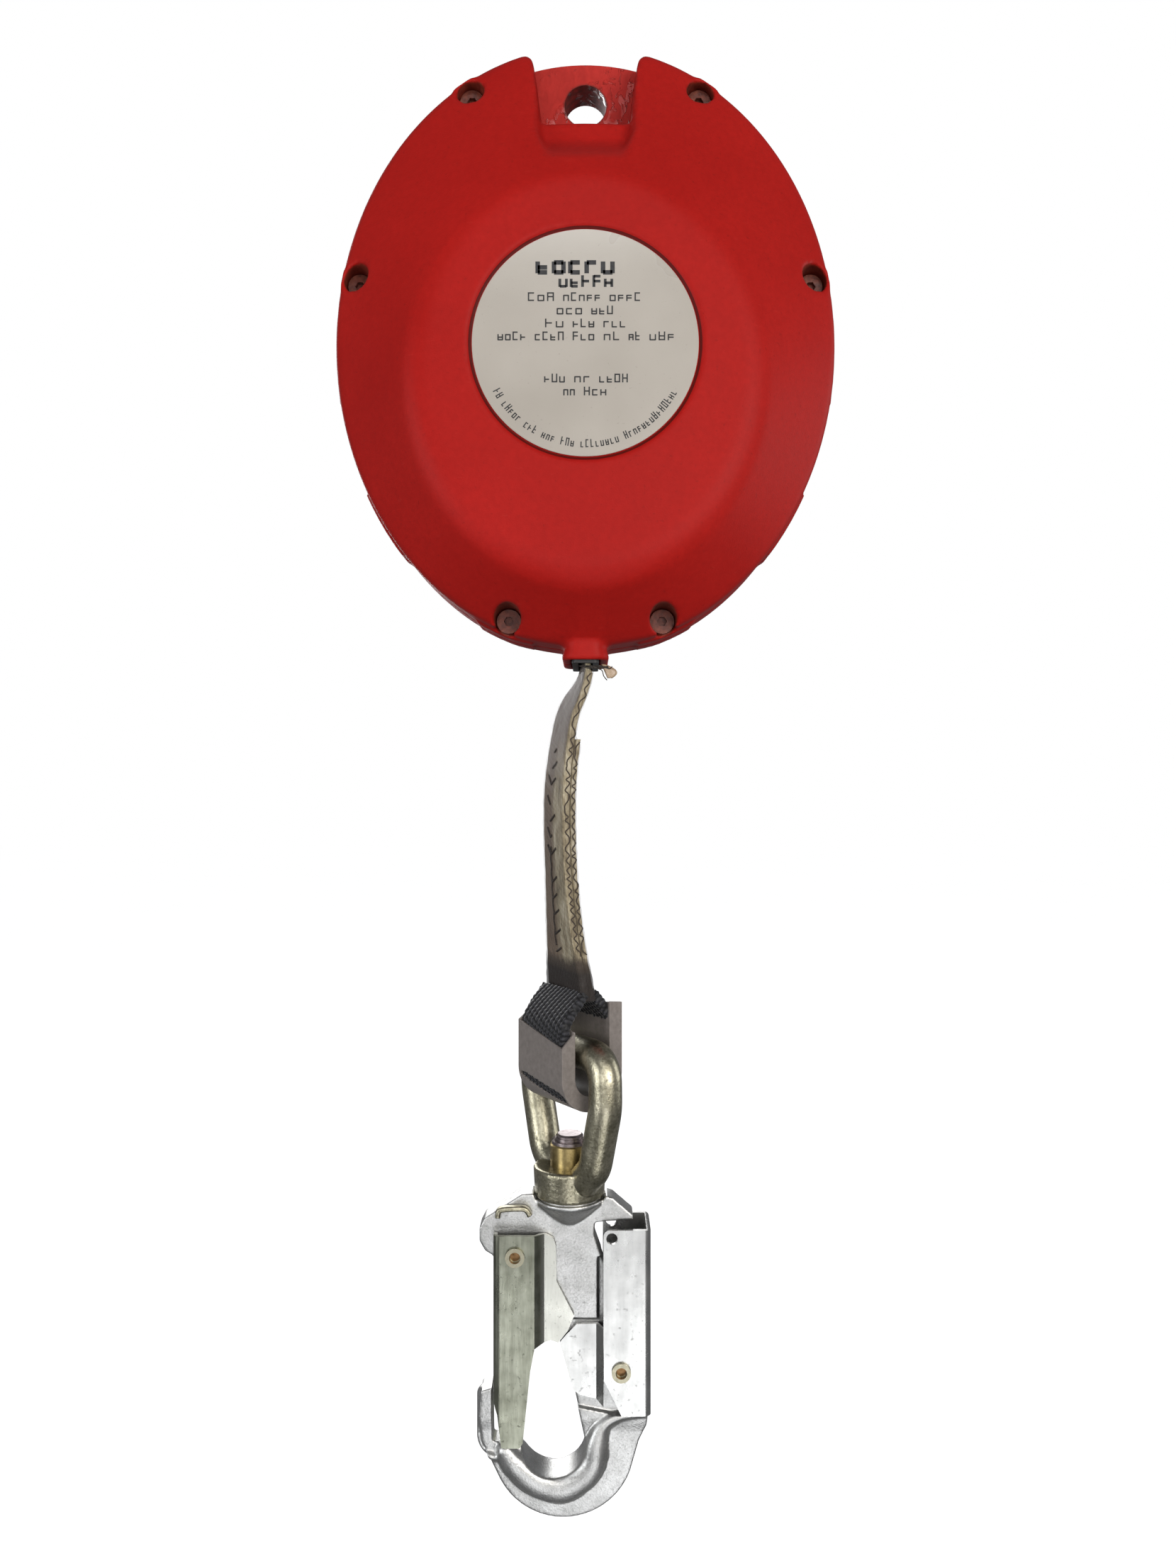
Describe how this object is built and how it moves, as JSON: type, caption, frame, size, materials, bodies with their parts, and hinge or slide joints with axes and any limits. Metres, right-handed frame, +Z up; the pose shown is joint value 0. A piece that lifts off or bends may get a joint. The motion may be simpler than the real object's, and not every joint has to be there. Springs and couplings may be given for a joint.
{
  "type": "self retracting lifeline",
  "caption": "Egg-shaped webbing retractor: two-part cover over a sprung drum, notch with anchorage hole on top, short webbing, swivel eye and double-action snap hook below.",
  "frame": {"origin": "centre of the anchorage hole at the top", "axes": "+Z up, the labelled front faces -Y, the hook hangs below along -Z"},
  "size_m": [0.1658, 0.076, 0.4879],
  "materials": {
    "cover_red": "moulded, fine satin",
    "cover_screw_steel": "dark coated steel",
    "insert_brass": "turned",
    "label_film": "smooth printed film",
    "guide_black": "moulded",
    "plate_red": "thick glossy paint",
    "zinc_steel": "zinc plated",
    "drum_alloy": "cast and turned",
    "bush_brass": "turned",
    "spring_steel": "blued strip",
    "lining": "pressed friction lining",
    "webbing_black": "tubular woven polyester",
    "sleeve_smoke": "shrunk clear film",
    "loop_fabric": "coarse woven cover",
    "thimble_grey": "moulded grey",
    "eye_zinc": "forged, yellowish zinc",
    "collar_gold": "passivated zinc",
    "hook_zinc": "forged, sandy zinc",
    "gate_zinc": "pressed sheet, zinc plated"
  },
  "bodies": {
    "housing": {"front_cover": "cover_red", "rear_cover": "cover_red", "cover_screws": "cover_screw_steel", "cover_inserts": "insert_brass", "label_disc": "label_film", "webbing_guide": "guide_black", "roller_pins": "zinc_steel", "front_frame_plate": "plate_red", "rear_frame_plate": "plate_red", "anchor_core": "plate_red", "anchor_rivets": "plate_red", "drum_shaft": "zinc_steel", "shaft_nuts": "zinc_steel", "brake_ring": "spring_steel", "brake_linings": "lining", "brake_clamp_ring": "zinc_steel", "brake_spring_washer": "spring_steel", "brake_screws": "zinc_steel", "webbing_lead": "webbing_black"},
    "drum": {"drum_core": "drum_alloy", "front_drum_flange": "drum_alloy", "drum_bushes": "bush_brass", "webbing_pin": "zinc_steel", "webbing_coil": "webbing_black", "power_spring": "spring_steel", "spring_cover": "zinc_steel", "spring_cover_screws": "zinc_steel", "pawl_pins": "zinc_steel", "pawl_springs": "spring_steel"},
    "right_locking_pawl": {"right_pawl": "spring_steel"},
    "left_locking_pawl": {"left_pawl": "spring_steel"},
    "left_roller": {"left_guide_roller": "guide_black"},
    "right_roller": {"right_guide_roller": "guide_black"},
    "line": {"line_webbing": "webbing_black", "shrink_sleeve": "sleeve_smoke", "loop_cover": "loop_fabric", "loop_thimble": "thimble_grey"},
    "eye": {"swivel_eye": "eye_zinc"},
    "hook": {"hook_body": "hook_zinc", "swivel_pin": "hook_zinc", "swivel_collar": "collar_gold", "swivel_cap_washer": "collar_gold", "swivel_washer": "zinc_steel", "gate_rivet": "collar_gold", "lever_rivet": "collar_gold", "gate_spring": "spring_steel", "lever_spring": "spring_steel"},
    "hook_gate": {"gate": "gate_zinc"},
    "hook_lever": {"lock_lever": "gate_zinc"}
  },
  "joints": [
    {"name": "line_pull", "type": "slide", "parent": "housing", "child": "line", "axis": [0, 0, -1], "range_m": [0, 6], "stiffness_N_per_m": 1, "springref_m": -20, "deforming": ["line_webbing"]},
    {"name": "drum_spin", "type": "hinge", "parent": "housing", "child": "drum", "pos_m": [0, 0, -0.0955], "axis": [0, 1, 0], "continuous": true},
    {"name": "left_roller_spin", "type": "hinge", "parent": "housing", "child": "left_roller", "pos_m": [-0.006, 0, -0.169], "axis": [0, 1, 0], "continuous": true},
    {"name": "right_roller_spin", "type": "hinge", "parent": "housing", "child": "right_roller", "pos_m": [0.006, 0, -0.169], "axis": [0, 1, 0], "continuous": true},
    {"name": "right_pawl_swing", "type": "hinge", "parent": "drum", "child": "right_locking_pawl", "pos_m": [0.021, 0, -0.0955], "axis": [0, 1, 0], "range_deg": [0, 9], "stiffness_Nm_per_rad": 0.004, "springref_deg": -11.46},
    {"name": "left_pawl_swing", "type": "hinge", "parent": "drum", "child": "left_locking_pawl", "pos_m": [-0.021, 0, -0.0955], "axis": [0, 1, 0], "range_deg": [0, 9], "stiffness_Nm_per_rad": 0.004, "springref_deg": -11.46},
    {"name": "eye_swing", "type": "hinge", "parent": "line", "child": "eye", "pos_m": [-0.0054, 0, -0.317], "axis": [0.5736, -0.8192, 0], "range_deg": [-60, 60]},
    {"name": "hook_swivel", "type": "hinge", "parent": "eye", "child": "hook", "pos_m": [-0.0054, 0, -0.3662], "axis": [0, 0, 1], "continuous": true},
    {"name": "gate_swing", "type": "hinge", "parent": "hook", "child": "hook_gate", "pos_m": [-0.0235, 0, -0.3845], "axis": [0, -1, 0], "range_deg": [0, 20], "stiffness_Nm_per_rad": 0.15, "springref_deg": -28.65},
    {"name": "lever_squeeze", "type": "hinge", "parent": "hook", "child": "hook_lever", "pos_m": [0.0119, 0, -0.4228], "axis": [0, -1, 0], "range_deg": [0, 5]}
  ],
  "couplings": [
    {"joint": "drum_spin", "follows": "line_pull", "rad_per_m": 24.3},
    {"joint": "left_roller_spin", "follows": "line_pull", "rad_per_m": 200},
    {"joint": "right_roller_spin", "follows": "line_pull", "rad_per_m": -200},
    {"joint": "lever_squeeze", "follows": "gate_swing", "ratio": 0.25}
  ]
}
